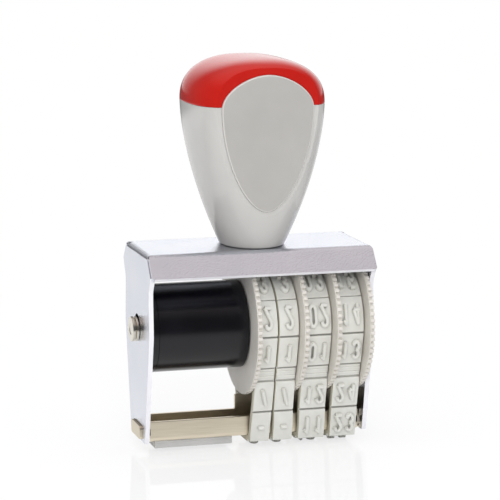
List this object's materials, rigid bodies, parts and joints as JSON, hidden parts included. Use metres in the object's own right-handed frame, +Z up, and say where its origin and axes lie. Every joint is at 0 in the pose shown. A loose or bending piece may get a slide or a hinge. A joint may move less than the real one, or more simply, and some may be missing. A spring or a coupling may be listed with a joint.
{
  "type": "date stamp",
  "caption": "Hand band date stamp: rubber date bands on toothed thumbwheels in a folded sheet frame, with a channel bar, a text plate and a tapered grip on top.",
  "frame": {"origin": "on the printing plane, midway between the side plates and under the axle", "axes": "+X along the axle from the text plate to the year band, +Y to the back, +Z up through the handle"},
  "size_m": [0.0488, 0.0288, 0.0785],
  "materials": {
    "plated_sheet": "bright nickel plate on folded steel sheet, faint grain",
    "plated_pin": "turned and nickel plated steel",
    "black_plastic": "moulded, semi-gloss",
    "wheel_plastic": "moulded, satin",
    "band_rubber": "moulded rubber, satin",
    "bar_metal": "warm plated steel strip",
    "text_rubber": "smooth backing strip",
    "grip_plastic": "moulded, glossy",
    "cap_plastic": "moulded, glossy",
    "label_plastic": "moulded, satin, bare"
  },
  "bodies": {
    "stamp": {"frame": "plated_sheet", "axle": "plated_pin", "bridge_bar": "bar_metal", "text_plate": "text_rubber", "day_tens_band": "band_rubber", "day_units_band": "band_rubber", "month_band": "band_rubber", "year_band": "band_rubber", "handle_grip": "grip_plastic", "handle_cap": "cap_plastic", "front_label": "label_plastic", "rear_label": "label_plastic", "handle_screw": "plated_pin"},
    "drum": {"spacer_drum": "black_plastic"},
    "day_tens": {"day_tens_wheel": "wheel_plastic"},
    "day_units": {"day_units_wheel": "wheel_plastic"},
    "month": {"month_wheel": "wheel_plastic"},
    "year": {"year_wheel": "wheel_plastic"}
  },
  "joints": [
    {"name": "drum_turn", "type": "hinge", "parent": "stamp", "child": "drum", "pos_m": [0, 0, 0.0248], "axis": [1, 0, 0], "continuous": true},
    {"name": "day_tens_turn", "type": "hinge", "parent": "stamp", "child": "day_tens", "pos_m": [0, 0, 0.0248], "axis": [1, 0, 0], "continuous": true},
    {"name": "day_units_turn", "type": "hinge", "parent": "stamp", "child": "day_units", "pos_m": [0, 0, 0.0248], "axis": [1, 0, 0], "continuous": true},
    {"name": "month_turn", "type": "hinge", "parent": "stamp", "child": "month", "pos_m": [0, 0, 0.0248], "axis": [1, 0, 0], "continuous": true},
    {"name": "year_turn", "type": "hinge", "parent": "stamp", "child": "year", "pos_m": [0, 0, 0.0248], "axis": [1, 0, 0], "continuous": true}
  ]
}
